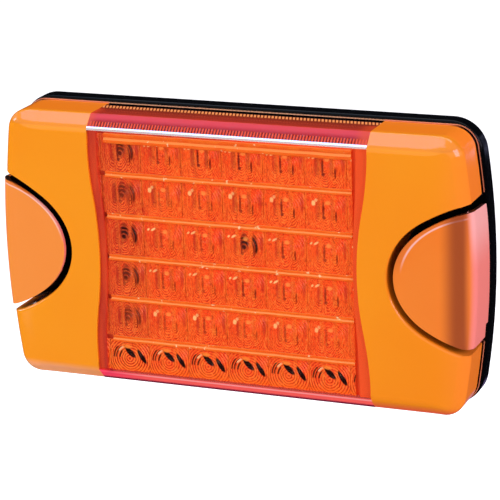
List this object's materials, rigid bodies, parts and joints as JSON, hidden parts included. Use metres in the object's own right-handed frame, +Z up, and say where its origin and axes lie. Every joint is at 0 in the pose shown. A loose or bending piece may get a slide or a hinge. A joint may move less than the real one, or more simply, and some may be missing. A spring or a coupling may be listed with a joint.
{
  "type": "rear direction lamp",
  "caption": "Flat rounded-rectangle LED lamp for trailers: clear ribbed amber window, orange ends with push-on half-oval screw covers, black base with hidden fixing holes and rear cable entry.",
  "frame": {"origin": "centre of the flat mounting face", "axes": "+Y out of the mounting face, towards the vehicle; the lamp faces -Y; +X along its width, to the right when seen from the front; +Z up"},
  "size_m": [0.15, 0.0223, 0.0856],
  "materials": {
    "black_base": "moulded black, slightly glossy",
    "window": "clear red-orange acrylic, polished",
    "orange_gloss": "polished opaque orange",
    "orange_satin": "satin opaque orange",
    "seal_rubber": "matt black rubber",
    "reflector": "metallised",
    "board": "solder mask",
    "led_body": "white package",
    "led_dome": "clear silicone dome",
    "component_black": "moulded black epoxy",
    "capacitor_can": "satin can",
    "tinned_pins": "bright tin",
    "steel": "zinc plated",
    "vent_plastic": "moulded dark grey"
  },
  "bodies": {
    "lamp": {"base_housing": "black_base", "centre_lens": "window", "left_end_panel": "orange_gloss", "right_end_panel": "orange_gloss", "lens_seal": "seal_rubber", "reflector_plate": "reflector", "led_board": "board", "led_bodies": "led_body", "led_domes": "led_dome", "resistors": "component_black", "driver_chip": "component_black", "diodes": "component_black", "capacitor": "capacitor_can", "wire_terminals": "tinned_pins", "board_screws": "steel", "cable_grommet": "seal_rubber", "vent_plug": "vent_plastic", "left_sleeve": "steel", "right_sleeve": "steel"},
    "left_cover": {"left_screw_cover": "orange_satin"},
    "right_cover": {"right_screw_cover": "orange_satin"}
  },
  "joints": [
    {"name": "left_cover_pull", "type": "slide", "parent": "lamp", "child": "left_cover", "axis": [0, -1, 0], "range_m": [0, 0.035]},
    {"name": "right_cover_pull", "type": "slide", "parent": "lamp", "child": "right_cover", "axis": [0, -1, 0], "range_m": [0, 0.035]}
  ]
}
